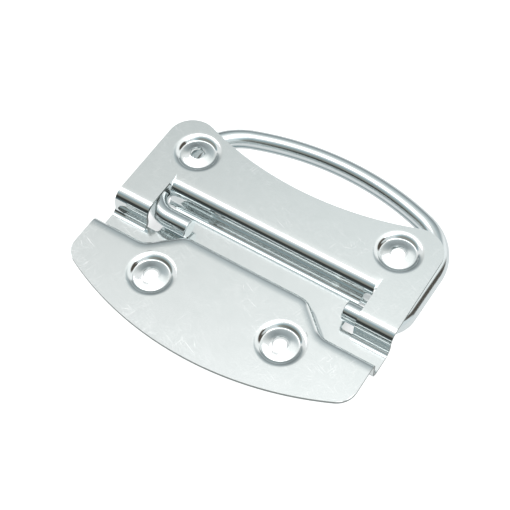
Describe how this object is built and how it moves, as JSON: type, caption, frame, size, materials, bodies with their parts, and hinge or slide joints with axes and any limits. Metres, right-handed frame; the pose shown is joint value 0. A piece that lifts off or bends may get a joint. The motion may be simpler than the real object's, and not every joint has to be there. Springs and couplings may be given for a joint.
{
  "type": "folding chest handle",
  "caption": "Surface-mounted folding carrying handle for a wooden hive or chest: a pressed steel plate with a raised ridge that holds a bent rod bail.",
  "frame": {"origin": "midway between the two upper screw holes, on the plane where the plate meets the wall", "axes": "+X along the hinge, +Y across the plate towards the bail's arch, which points down on a wall, +Z into the wall"},
  "size_m": [0.1018, 0.0948, 0.012],
  "materials": {
    "zinc_sheet": "bright zinc plated pressed sheet",
    "zinc_rod": "bright zinc plated round rod"
  },
  "bodies": {
    "plate": {"base_plate": "zinc_sheet"},
    "handle": {"bail": "zinc_rod"}
  },
  "joints": [
    {"name": "bail_swing", "type": "hinge", "parent": "plate", "child": "handle", "pos_m": [0.0042, -0.0244, -0.00433], "axis": [-1, 0, 0], "range_deg": [0, 85]}
  ]
}
